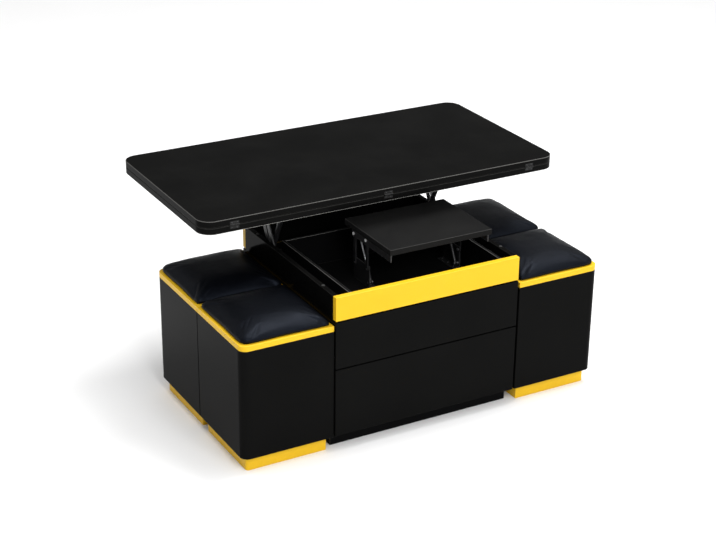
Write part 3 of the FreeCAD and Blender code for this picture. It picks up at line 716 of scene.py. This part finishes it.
@dataclass
class ScrewSet:
    """Cross-head screws of one body, set on points by geometry nodes."""

    name: str
    body: str
    head_radius: float = 0.0036
    head_height: float = 0.0018
    slot: Slot = Slot.BRIGHT_STEEL
    sink: float = 0.0001
    places: list[Span] = field(default_factory=list)

    SIDES = 20
    CROWN_SHARE = 0.72
    CROSS_LENGTH = 1.1
    CROSS_WIDTH = 0.24
    CROSS_LIFT = 0.95

    @staticmethod
    def tree() -> bpy.types.NodeTree:
        """Return the node tree that puts a screw head on every point, built once."""
        found = bpy.data.node_groups.get("screw_heads")
        if found:
            return found
        tree = bpy.data.node_groups.new("screw_heads", "GeometryNodeTree")
        tree.interface.new_socket("Geometry", in_out="INPUT", socket_type="NodeSocketGeometry")
        for title in ("Head Radius", "Head Height"):
            tree.interface.new_socket(title, in_out="INPUT", socket_type="NodeSocketFloat")
        tree.interface.new_socket("Finish", in_out="INPUT", socket_type="NodeSocketMaterial")
        tree.interface.new_socket("Geometry", in_out="OUTPUT", socket_type="NodeSocketGeometry")
        sketch = Sketch(tree)
        entry = sketch.add("NodeGroupInput").outputs
        radius, height = entry["Head Radius"], entry["Head Height"]
        crown = sketch.math("MULTIPLY", radius, ScrewSet.CROWN_SHARE)
        head = sketch.add(
            "GeometryNodeMeshCone",
            {"Vertices": ScrewSet.SIDES, "Radius Top": crown, "Radius Bottom": radius, "Depth": height},
        )
        arm = sketch.math("MULTIPLY", radius, ScrewSet.CROSS_LENGTH)
        slot = sketch.math("MULTIPLY", radius, ScrewSet.CROSS_WIDTH)
        bars = []
        for along, across in ((arm, slot), (slot, arm)):
            size = sketch.add("ShaderNodeCombineXYZ", {0: along, 1: across, 2: height})
            bars.append(sketch.add("GeometryNodeMeshCube", {"Size": size.outputs[0]}).outputs["Mesh"])
        cross = sketch.add("GeometryNodeJoinGeometry")
        for bar in bars:
            tree.links.new(bar, cross.inputs[0])
        raised = sketch.math("MULTIPLY", height, ScrewSet.CROSS_LIFT)
        lift = sketch.add("ShaderNodeCombineXYZ", {2: raised})
        drive = sketch.add(
            "GeometryNodeTransform", {"Geometry": cross.outputs[0], "Translation": lift.outputs[0]}
        )
        driven = sketch.add("GeometryNodeMeshBoolean", operation="DIFFERENCE")
        tree.links.new(head.outputs["Mesh"], driven.inputs["Mesh 1"])
        tree.links.new(drive.outputs[0], driven.inputs["Mesh 2"])
        axis = sketch.add("GeometryNodeInputNamedAttribute", {"Name": "axis"}, data_type="FLOAT_VECTOR")
        turn = sketch.add("FunctionNodeAlignRotationToVector", {"Vector": axis.outputs[0]}, axis="Z")
        spread = sketch.add(
            "GeometryNodeInstanceOnPoints",
            {"Points": entry["Geometry"], "Instance": driven.outputs[0], "Rotation": turn.outputs[0]},
        )
        real = sketch.add("GeometryNodeRealizeInstances", {"Geometry": spread.outputs[0]})
        finish = sketch.add(
            "GeometryNodeSetMaterial", {"Geometry": real.outputs[0], "Material": entry["Finish"]}
        )
        leave = sketch.add("NodeGroupOutput")
        tree.links.new(finish.outputs[0], leave.inputs["Geometry"])
        return tree

    def build(self, finishes: Finishes) -> bpy.types.Object:
        """Make the screws as one plain mesh that rides on the body.

        Args:
            finishes: Materials by slot.

        Returns:
            The finished piece.
        """
        material = finishes.by_slot[self.slot]
        mesh = bpy.data.meshes.new(self.name + "_points")
        mesh.from_pydata([place - axis * self.sink for place, axis in self.places], [], [])
        axes = mesh.attributes.new("axis", "FLOAT_VECTOR", "POINT")
        for index, (_, axis) in enumerate(self.places):
            axes.data[index].vector = axis
        holder = bpy.data.objects.new(self.name + "_points", mesh)
        bpy.context.scene.collection.objects.link(holder)
        modifier = holder.modifiers.new("screws", "NODES")
        modifier.node_group = self.tree()
        values = {"Head Radius": self.head_radius, "Head Height": self.head_height, "Finish": material}
        for item in modifier.node_group.interface.items_tree:
            if item.in_out == "INPUT" and item.name in values:
                modifier[item.identifier] = values[item.name]
        piece = plain_object(self.name, baked_mesh(holder), material)
        bpy.data.objects.remove(holder)
        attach(piece, self.body)
        LOG.info("built %s with %d heads", self.name, len(self.places))
        return piece


def spaced(low: float, high: float, inset: float, count: int) -> list[float]:
    """Even places between two ends.

    Args:
        low: Lower end.
        high: Upper end.
        inset: Distance kept from both ends.
        count: Number of places.

    Returns:
        The places in rising order.
    """
    reach = high - low - 2 * inset
    return [low + inset + reach * step / (count - 1) for step in range(count)]


@dataclass
class SubAssembly:
    """A group of CAD nodes that are dressed together."""

    finishes: Finishes
    nodes: tuple[str, ...] = ()

    def dress(self) -> None:
        """Give every CAD node of the group its material."""
        for node in self.nodes:
            self.finishes.dress(node)


@dataclass
class Cabinet(SubAssembly):
    """Cabinet, its storage well, the drawers and their channels."""

    nodes: tuple[str, ...] = (
        "left_side",
        "right_side",
        "bottom_panel",
        "back_panel",
        "front_band",
        "rear_band",
        "cabinet_plinth",
        "storage_floor",
        "storage_left_wall",
        "storage_right_wall",
        "storage_rear_wall",
        "top_bumpers",
        "drawer_channels",
        "upper_drawer_front",
        "upper_drawer_box",
        "upper_drawer_rails",
        "lower_drawer_front",
        "lower_drawer_box",
        "lower_drawer_rails",
    )
    screw_margin: float = 0.03
    screw_rows: int = 4

    def build(self) -> None:
        """Screw the back panel to the carcass."""
        low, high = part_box("back_panel")
        screws = ScrewSet("back_panel_screws", "cabinet")
        inset = self.screw_margin / 2
        for z in spaced(low.z, high.z, self.screw_margin, self.screw_rows):
            for x in (low.x + inset, high.x - inset):
                screws.places.append((Vector((x, high.y, z)), -FRONT))
        screws.build(self.finishes)


@dataclass
class Lift(SubAssembly):
    """Parallel arms, struts and brackets that carry the top."""

    nodes: tuple[str, ...] = (
        "lift_base_left",
        "lift_base_right",
        "lift_rear_arms",
        "lift_front_arms",
        "lift_bracket_left",
        "lift_bracket_right",
        "lift_lower_pins",
        "lift_upper_pins",
        "strut_cylinders",
        "strut_rods",
        "strut_studs",
    )
    screw_inset: float = 0.007
    flange_inset: float = 0.012
    flange_screws: int = 5

    def build(self) -> None:
        """Screw the base plates to the cabinet and the brackets to the leaf."""
        base_screws = ScrewSet("lift_base_screws", "cabinet")
        for node, axis in (("lift_base_left", RIGHT), ("lift_base_right", LEFT)):
            low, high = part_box(node)
            x = high.x if axis.x > 0 else low.x
            for y in (low.y + self.screw_inset, high.y - self.screw_inset):
                for z in (low.z + self.screw_inset, high.z - self.screw_inset):
                    base_screws.places.append((Vector((x, y, z)), axis))
        base_screws.build(self.finishes)
        bracket_screws = ScrewSet("lift_bracket_screws", "tabletop")
        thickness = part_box("lift_base_left")[1].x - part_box("lift_base_left")[0].x
        for node, sign in (("lift_bracket_left", 1.0), ("lift_bracket_right", -1.0)):
            low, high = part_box(node)
            x = high.x - self.flange_inset if sign > 0 else low.x + self.flange_inset
            for y in spaced(low.y, high.y, self.flange_inset, self.flange_screws):
                bracket_screws.places.append((Vector((x, y, high.z - thickness)), DOWN))
        bracket_screws.build(self.finishes)


@dataclass
class DoubleTop(SubAssembly):
    """The two leaves and the flip hinges on their front edge."""

    nodes: tuple[str, ...] = (
        "lower_leaf",
        "upper_leaf",
        "flip_hinge_lower_halves",
        "flip_hinge_upper_halves",
        "flip_hinge_pins",
    )
    hinge_width: float = 0.027
    screw_radius: float = 0.0019
    screw_height: float = 0.0004
    screw_spread: float = 0.008
    screw_inset: float = 0.0032

    def build(self) -> None:
        """Screw the hinge plates to the leaves."""
        low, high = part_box("flip_hinge_lower_halves")
        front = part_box("lower_leaf")[0].y
        middle = (low.x + high.x) / 2
        reach = high.x - middle - self.hinge_width / 2
        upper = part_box("flip_hinge_upper_halves")[1].z - self.screw_inset
        lower = low.z + self.screw_inset
        for name, body, z in (
            ("lower_hinge_screws", "tabletop", lower),
            ("upper_hinge_screws", "flip_leaf", upper),
        ):
            screws = ScrewSet(name, body, self.screw_radius, self.screw_height, Slot.BLACK_STEEL)
            for centre in (middle - reach, middle, middle + reach):
                for side in (-self.screw_spread, self.screw_spread):
                    screws.places.append((Vector((centre + side, front, z)), FRONT))
            screws.build(self.finishes)


@dataclass
class Tray(SubAssembly):
    """Small tray and its folding arms."""

    nodes: tuple[str, ...] = (
        "tray_board",
        "tray_foot_plates",
        "tray_brackets",
        "tray_rear_arms",
        "tray_front_arms",
        "tray_lower_pins",
        "tray_upper_pins",
        "tray_strut_cylinders",
        "tray_strut_rods",
    )
    plate: float = 0.003
    flange: float = 0.02
    flange_inset: float = 0.009
    end_inset: float = 0.014

    def build(self) -> None:
        """Screw the foot plates to the well and the brackets to the tray."""
        reach = self.plate + self.flange - self.flange_inset
        for name, node, body, axis in (
            ("tray_foot_screws", "tray_foot_plates", "cabinet", UP),
            ("tray_bracket_screws", "tray_brackets", "tray", DOWN),
        ):
            low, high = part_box(node)
            z = low.z + self.plate if axis is UP else high.z - self.plate
            screws = ScrewSet(name, body)
            for x in (low.x + reach, high.x - reach):
                for y in (low.y + self.end_inset, (low.y + high.y) / 2, high.y - self.end_inset):
                    screws.places.append((Vector((x, y, z)), axis))
            screws.build(self.finishes)


@dataclass
class CushionForm:
    """Crowned pad with drawn-in sides, swollen once by a cloth simulation and copied for every stool.

    Its rounder outer corner lies towards +X and +Y, as on the rear right stool.
    """

    voxel: float = 0.005
    ease_passes: int = 3
    ease_factor: float = 0.5
    cloth_quality: int = 6
    cloth_mass: float = 0.3
    pressure: float = 4.0
    frames: int = 20
    cap: float = 0.004
    belly_share: float = 0.2
    tuck_share: float = 0.015
    crown_power: float = 1.9
    shoulder_power: float = 2.9
    outer_squareness: float = 12.0
    inner_squareness: float = 36.0
    crown_squareness: float = 4.0
    crown_onset: float = 1.15
    draw: float = 0.002
    around: int = 256
    levels: int = 26
    finished: bpy.types.Mesh | None = None

    def spread_at(self, rise: float) -> float:
        """Share of the full plan at a share of the height."""
        if rise < self.belly_share:
            return 1.0 - self.tuck_share * (1.0 - rise / self.belly_share) ** 2
        climb = (rise - self.belly_share) / (1.0 - self.belly_share)
        return max(1.0 - climb**self.crown_power, 0.0) ** (1.0 / self.shoulder_power)

    def ring(self, half: Vector, rise: float) -> list[Vector]:
        """Points round the cushion at one level.

        Args:
            half: Half of its width and depth, and its whole height.
            rise: Share of the height.

        Returns:
            The points, about the middle of its base.
        """
        spread = self.spread_at(rise)
        points = []
        for step in range(self.around):
            angle = 2 * math.pi * step / self.around
            c, s = math.cos(angle), math.sin(angle)
            base = self.outer_squareness if c > 0 and s > 0 else self.inner_squareness
            power = base + (self.crown_squareness - base) * min(rise * self.crown_onset, 1.0) ** 2
            reach = (abs(c / half.x) ** power + abs(s / half.y) ** power) ** (-1.0 / power)
            reach -= self.draw * math.cos(2 * angle) ** 2 * (1.0 - rise)
            points.append(Vector((c * reach * spread, s * reach * spread, half.z * rise)))
        return points

    def plain_mesh(self, half: Vector) -> bpy.types.Mesh:
        """Closed mesh of the pad before it swells."""
        shape = bmesh.new()
        rings = []
        for level in range(self.levels):
            rise = 1.0 - (1.0 - level / self.levels) ** 2
            rings.append([shape.verts.new(point) for point in self.ring(half, rise)])
        for lower, upper in zip(rings, rings[1:]):
            for step in range(self.around):
                after = (step + 1) % self.around
                shape.faces.new((lower[step], lower[after], upper[after], upper[step]))
        shape.faces.new(list(reversed(rings[0])))
        top = shape.verts.new((0.0, 0.0, half.z))
        for step in range(self.around):
            shape.faces.new((rings[-1][step], rings[-1][(step + 1) % self.around], top))
        mesh = bpy.data.meshes.new("cushion_pad")
        shape.to_mesh(mesh)
        shape.free()
        return mesh

    def remeshed(self, piece: bpy.types.Object) -> bpy.types.Mesh:
        """Even quad skin of the pad."""
        remesh = piece.modifiers.new("skin", "REMESH")
        remesh.mode = "VOXEL"
        remesh.voxel_size = self.voxel
        smooth = piece.modifiers.new("ease", "SMOOTH")
        smooth.factor = self.ease_factor
        smooth.iterations = self.ease_passes
        mesh = baked_mesh(piece)
        piece.modifiers.clear()
        return mesh

    def swell(self, piece: bpy.types.Object) -> None:
        """Blow the pad up gently with a cloth simulation, held at its base.

        Args:
            piece: The pad, whose mesh is changed.
        """
        scene = bpy.context.scene
        start = [vertex.co.copy() for vertex in piece.data.vertices]
        held = piece.vertex_groups.new(name="held")
        held.add([i for i, co in enumerate(start) if co.z < self.voxel], 1.0, "REPLACE")
        cloth = piece.modifiers.new("swell", "CLOTH")
        settings = cloth.settings
        settings.quality = self.cloth_quality
        settings.mass = self.cloth_mass
        settings.use_pressure = True
        settings.uniform_pressure_force = self.pressure
        settings.effector_weights.gravity = 0.0
        settings.vertex_group_mass = held.name
        cloth.point_cache.frame_start = 1
        cloth.point_cache.frame_end = self.frames
        for number in range(1, self.frames + 1):
            scene.frame_set(number)
        graph = bpy.context.evaluated_depsgraph_get()
        swollen = [vertex.co.copy() for vertex in piece.evaluated_get(graph).data.vertices]
        piece.modifiers.clear()
        scene.frame_set(1)
        for vertex, before, after in zip(piece.data.vertices, start, swollen):
            move = after - before
            if move.length > self.cap:
                move.length = self.cap
            vertex.co = before + move

    def copy(self, half: Vector) -> bpy.types.Mesh:
        """Copy of the swollen pad, which the first call makes.

        Args:
            half: Half of its width and depth, and its whole height.

        Returns:
            A new mesh, about the middle of its base.
        """
        if self.finished is None:
            piece = bpy.data.objects.new("cushion_form", self.plain_mesh(half))
            bpy.context.scene.collection.objects.link(piece)
            piece.data = self.remeshed(piece)
            self.swell(piece)
            self.finished = piece.data
            bpy.data.objects.remove(piece)
        return self.finished.copy()


@dataclass
class Cushion:
    """Leather cushion of one stool, with ripples of its own."""

    node: str
    body: str
    form: CushionForm
    sides: tuple[float, float]
    seed: float
    fill: float = 0.75
    ripple: float = 0.0007
    ripple_scale: float = 17.0
    fold_scale: float = 53.0
    fold_share: float = 0.35
    seed_skew: tuple[float, float, float] = (1.0, 0.7, 1.3)

    def settle(self, mesh: bpy.types.Mesh, half: Vector) -> None:
        """Lay soft ripples into the leather and keep its base flat.

        Args:
            mesh: The pad, which is changed.
            half: Half of its width and depth, and its whole height.
        """
        offset = Vector([self.seed * skew for skew in self.seed_skew])
        for vertex in mesh.vertices:
            share = min(max(vertex.co.z / half.z, 0.0), 1.0)
            wave = noise.noise(vertex.co * self.ripple_scale + offset)
            fold = noise.noise(vertex.co * self.fold_scale + offset)
            vertex.co += vertex.normal * (wave + self.fold_share * fold) * self.ripple * share
            vertex.co.z = max(vertex.co.z, 0.0)

    def build(self, material: bpy.types.Material) -> bpy.types.Object:
        """Make the finished cushion in place of its CAD solid.

        Args:
            material: The leather.

        Returns:
            The cushion.
        """
        low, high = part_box(self.node)
        half = Vector(((high.x - low.x) / 2, (high.y - low.y) / 2, high.z - low.z))
        mesh = self.form.copy(half)
        self.settle(mesh, half)
        piece = plain_object(self.node + "_leather", mesh, material)
        finer = piece.modifiers.new("finer", "SUBSURF")
        finer.levels = finer.render_levels = 1
        piece.data = baked_mesh(piece)
        piece.modifiers.clear()
        piece.vertex_groups.clear()
        middle = Vector(((low.x + high.x) / 2, (low.y + high.y) / 2, low.z))
        piece.data.transform(Matrix.Translation(middle) @ Matrix.Diagonal((*self.sides, 1.0, 1.0)))
        if self.sides[0] * self.sides[1] < 0:
            piece.data.flip_normals()
        piece.data.shade_smooth()
        dress_object(piece, material)
        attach(piece, self.body)
        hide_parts(self.node)
        LOG.info("built %s with %d faces", piece.name, len(piece.data.polygons))
        return piece


@dataclass
class Stool(SubAssembly):
    """One stool: plinth, body, seat board and cushion."""

    place: StoolPlace = StoolPlace.FRONT_LEFT
    form: CushionForm = field(default_factory=CushionForm)
    seed_step: float = 3.7

    def __post_init__(self) -> None:
        """Name the stool's CAD nodes."""
        self.nodes = tuple(f"{self.place.value}_{piece}" for piece in ("plinth", "body", "seat_board"))

    def build(self) -> None:
        """Make the leather cushion."""
        seed = list(StoolPlace).index(self.place) * self.seed_step
        sides = tuple(-1.0 if side in self.place.value else 1.0 for side in ("left", "front"))
        cushion = Cushion(self.place.value + "_cushion", self.place.value, self.form, sides, seed)
        cushion.build(self.finishes.by_slot[Slot.BLACK_LEATHER])


@dataclass(frozen=True)
class Lamp:
    """A soft box: where it hangs, what it points at, its size and power."""

    name: str
    place: tuple[float, float, float]
    aim: tuple[float, float, float]
    size: float
    power: float

    def build(self) -> None:
        """Hang the lamp."""
        data = bpy.data.lights.new(self.name, "AREA")
        data.shape = "SQUARE"
        data.size = self.size
        data.energy = self.power
        lamp = bpy.data.objects.new(self.name, data)
        bpy.context.scene.collection.objects.link(lamp)
        lamp.location = self.place
        lamp.rotation_euler = (Vector(self.aim) - Vector(self.place)).to_track_quat("-Z", "Y").to_euler()


@dataclass
class Studio:
    """Pale floor, soft light and the camera at the photograph's angle."""

    camera_place: Vector = field(default_factory=lambda: Vector((-2.3042, -3.9802, 2.4534)))
    camera_look: Vector = field(default_factory=lambda: Vector((0.44685, 0.79574, -0.40881)))
    camera_up: Vector = field(default_factory=lambda: Vector((0.19047, 0.36187, 0.91256)))
    focal_pixels: float = 1657.43
    picture_width: float = 716.0
    sensor: float = 36.0
    floor_half: float = 30.0
    floor_drop: float = 0.0003
    floor_colour: Colour = (0.94, 0.94, 0.94, 1.0)
    floor_specular: float = 0.1
    mottle_scale: float = 3.0
    mottle_range: tuple[float, float] = (0.3, 0.7)
    mottle_roughness: tuple[float, float] = (0.55, 0.65)
    sky_colour: Colour = (1.0, 1.0, 1.0, 1.0)
    sky_horizon: float = 0.6
    sky_low: float = 0.2
    sky_high: float = 1.25
    zenith_rise: tuple[float, float] = (0.35, 0.85)
    horizon_fall: tuple[float, float] = (0.03, 0.12)
    lamps: tuple[Lamp, ...] = (
        Lamp("key softbox", (-0.5, -4.2, 3.2), (0.0, 0.0, 0.4), 2.4, 140.0),
        Lamp("overhead softbox", (1.3, 0.3, 4.2), (0.0, 0.0, 0.3), 1.9, 130.0),
        Lamp("fill softbox", (3.4, -2.6, 2.2), (0.0, 0.0, 0.4), 2.2, 25.0),
    )

    def build_floor(self) -> None:
        """Lay a pale floor with a faint mottle."""
        mesh = bpy.data.meshes.new("floor")
        half = self.floor_half
        corners = [(-half, -half), (half, -half), (half, half), (-half, half)]
        mesh.from_pydata([(x, y, -self.floor_drop) for x, y in corners], [], [(0, 1, 2, 3)])
        material, sketch, shader = new_material("pale floor")
        mottle = sketch.noise(sketch.place(), self.mottle_scale, detail=2.0)
        rough = sketch.remap(mottle, *self.mottle_range, *self.mottle_roughness)
        sketch.wire(shader, {"Base Color": self.floor_colour, "Roughness": rough})
        sketch.wire(shader, {"Specular IOR Level": self.floor_specular})
        plain_object("floor", mesh, material)

    def build_light(self) -> None:
        """Set a sky that is dim between its horizon and its zenith, and hang the lamps."""
        world = bpy.data.worlds.new("studio")
        world.use_nodes = True
        sketch = Sketch(world.node_tree)
        back = world.node_tree.nodes["Background"]
        back.inputs["Color"].default_value = self.sky_colour
        towards = sketch.add("ShaderNodeTexCoord").outputs["Generated"]
        height = sketch.add("ShaderNodeSeparateXYZ", {0: towards}).outputs["Z"]
        upper = sketch.remap(height, *self.zenith_rise, self.sky_low, self.sky_high)
        lower = sketch.remap(height, *self.horizon_fall, self.sky_horizon, self.sky_low)
        sketch.feed(back.inputs["Strength"], sketch.math("MAXIMUM", upper, lower))
        bpy.context.scene.world = world
        for lamp in self.lamps:
            lamp.build()

    def build_camera(self) -> None:
        """Stand the camera where the photograph was taken."""
        data = bpy.data.cameras.new("camera")
        data.sensor_width = self.sensor
        data.lens = self.focal_pixels / self.picture_width * self.sensor
        camera = bpy.data.objects.new("camera", data)
        bpy.context.scene.collection.objects.link(camera)
        back = -self.camera_look.normalized()
        right = self.camera_up.cross(back).normalized()
        up = back.cross(right)
        turn = Matrix((right, up, back)).transposed().to_4x4()
        camera.matrix_world = Matrix.Translation(self.camera_place) @ turn
        bpy.context.scene.camera = camera

    def build(self) -> None:
        """Set up the whole studio."""
        self.build_floor()
        self.build_light()
        self.build_camera()
        bpy.context.scene.view_settings.view_transform = "Standard"


def main() -> None:
    """Build every sub-assembly in order and report each piece."""
    logging.basicConfig(level=logging.INFO, format="%(message)s")
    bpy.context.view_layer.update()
    Studio().build()
    finishes = Finishes(frame["record"])
    kinds = (Cabinet, Lift, DoubleTop, Tray)
    assemblies: list[SubAssembly] = [kind(finishes) for kind in kinds]
    form = CushionForm()
    assemblies += [Stool(finishes, place=place, form=form) for place in StoolPlace]
    for assembly in assemblies:
        assembly.dress()
        assembly.build()


if __name__ == "__main__":
    main()
